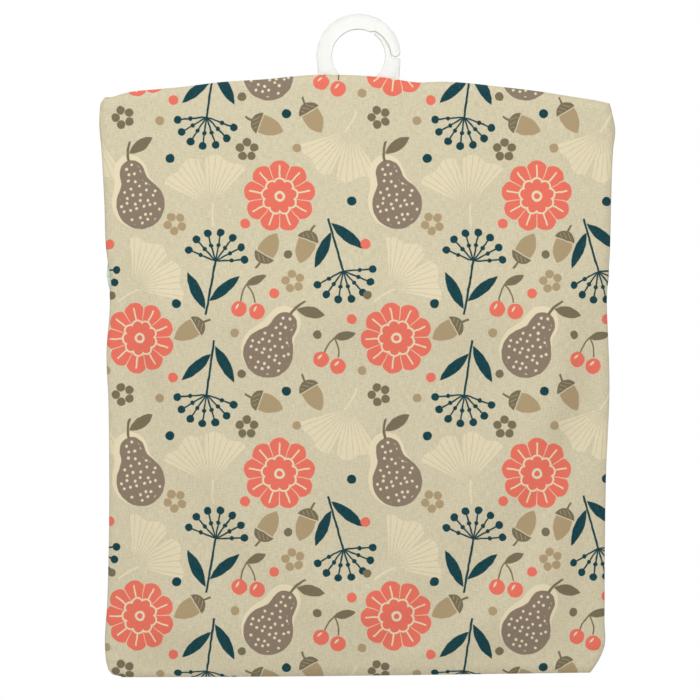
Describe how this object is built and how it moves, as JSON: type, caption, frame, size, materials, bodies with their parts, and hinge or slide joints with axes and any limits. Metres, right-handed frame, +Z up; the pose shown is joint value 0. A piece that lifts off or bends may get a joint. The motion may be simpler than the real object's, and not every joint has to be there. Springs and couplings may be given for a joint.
{
  "type": "peg bag",
  "caption": "Flat printed-cotton clothes-peg bag on a moulded plastic hanger: ring hook with a springy tongue, sewn sides, and a taped crescent mouth across the front.",
  "frame": {"origin": "inside top of the hook's ring, where it bears on the washing line, in the hanger's mid-plane", "axes": "+Z up, -Y the plain back panel that faces the camera, +Y the mouth, +X to the right as the picture shows it"},
  "size_m": [0.3, 0.0291, 0.3856],
  "materials": {
    "clear_plastic": "frosted clear moulding",
    "printed_cotton": "plain-weave cotton with an all-over print",
    "mint_tape": "pale mint bias tape",
    "stitch_thread": "sewing thread",
    "overlocked_edge": "overlocked cotton edges"
  },
  "bodies": {
    "hanger": {"hanger_frame": "clear_plastic"},
    "tongue": {"hook_tongue": "clear_plastic"},
    "bag": {"back_panel": "printed_cotton", "front_yoke": "printed_cotton", "front_pocket": "printed_cotton", "yoke_binding": "mint_tape", "yoke_stitching": "stitch_thread", "left_side_turning": "overlocked_edge", "right_side_turning": "overlocked_edge", "left_shoulder_turning": "overlocked_edge", "right_shoulder_turning": "overlocked_edge", "foot_turning": "overlocked_edge"},
    "mouth_lip": {"pocket_binding": "mint_tape", "pocket_stitching": "stitch_thread"}
  },
  "joints": [
    {"name": "tongue_press", "type": "hinge", "parent": "hanger", "child": "tongue", "pos_m": [0.01687, 0, -0.01955], "axis": [0, -1, 0], "range_deg": [0, 25], "stiffness_Nm_per_rad": 0.05},
    {"name": "bag_lift", "type": "slide", "parent": "hanger", "child": "bag", "axis": [0, 0, 1], "range_m": [0, 0.036]},
    {"name": "mouth_open", "type": "hinge", "parent": "bag", "child": "mouth_lip", "pos_m": [0, 0.0055, -0.1494], "axis": [1, 0, 0], "range_deg": [0, 35], "deforming": ["front_pocket"]}
  ]
}
